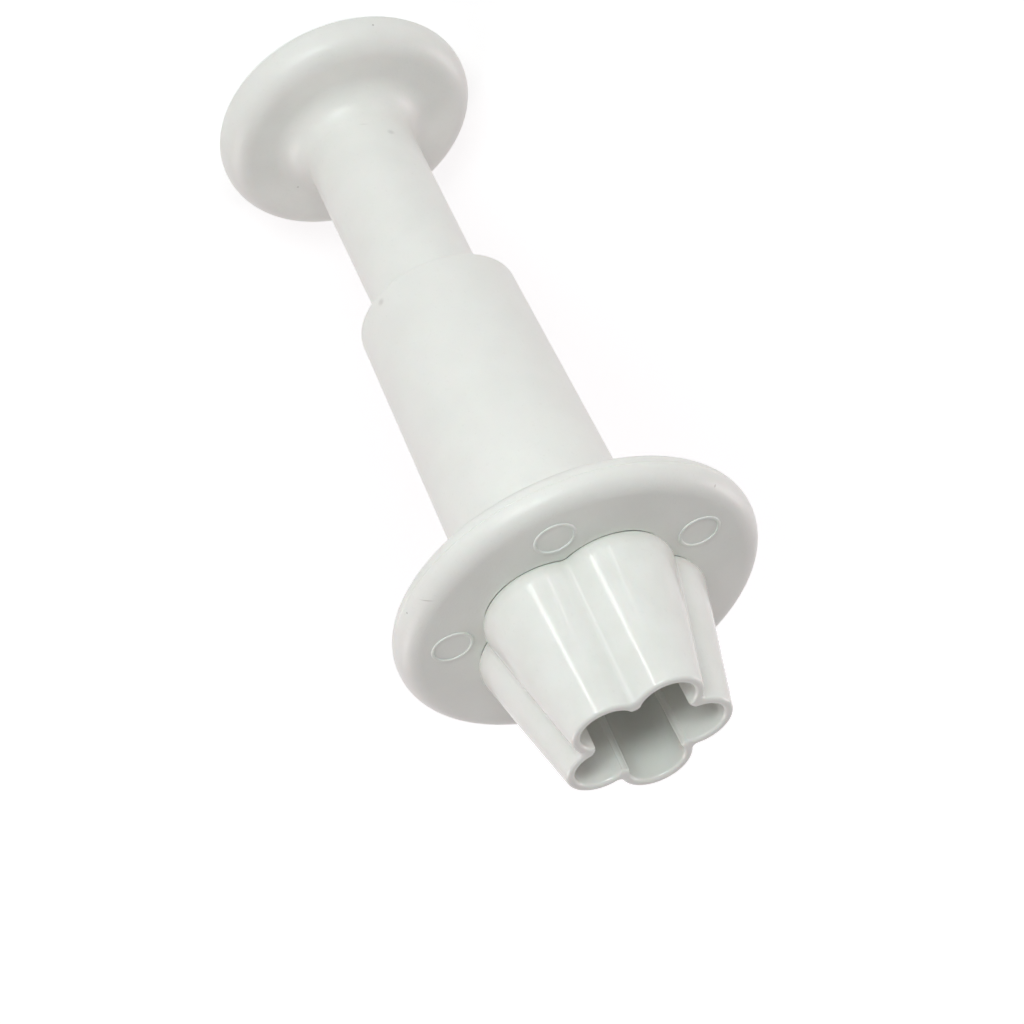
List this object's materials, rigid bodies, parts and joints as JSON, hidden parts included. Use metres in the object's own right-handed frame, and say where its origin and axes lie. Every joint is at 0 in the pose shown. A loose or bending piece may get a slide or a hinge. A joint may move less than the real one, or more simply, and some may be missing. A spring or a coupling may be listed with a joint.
{
  "type": "plunger cutter",
  "caption": "Sprung plunger cutter with a petal-shaped cutting nose, a finger flange on a tapered barrel and a thumb disc that drives the ejector.",
  "frame": {"origin": "centre of the thumb disc's flat outer face, on which the cutter stands", "axes": "+Z along the tool's axis from the thumb disc towards the cutting lip, +Y through the middle of one petal, +X completes a right-handed frame"},
  "size_m": [0.032, 0.032, 0.074],
  "materials": {
    "satin_white_handle": "satin white moulded plastic",
    "satin_white_body": "satin white moulded plastic",
    "gloss_white_nose": "glossy white moulded plastic",
    "white_ejector": "smooth white moulded plastic",
    "spring_steel": "drawn stainless spring wire"
  },
  "bodies": {
    "body": {"barrel_body": "satin_white_body", "blossom_nose": "gloss_white_nose", "return_spring": "spring_steel"},
    "plunger": {"thumb_handle": "satin_white_handle", "ejector": "white_ejector"}
  },
  "joints": [
    {"name": "plunger_slide", "type": "slide", "parent": "body", "child": "plunger", "axis": [0, 0, 1], "range_m": [0, 0.0115], "stiffness_N_per_m": 430, "springref_m": -0.005, "deforming": ["return_spring"]}
  ]
}
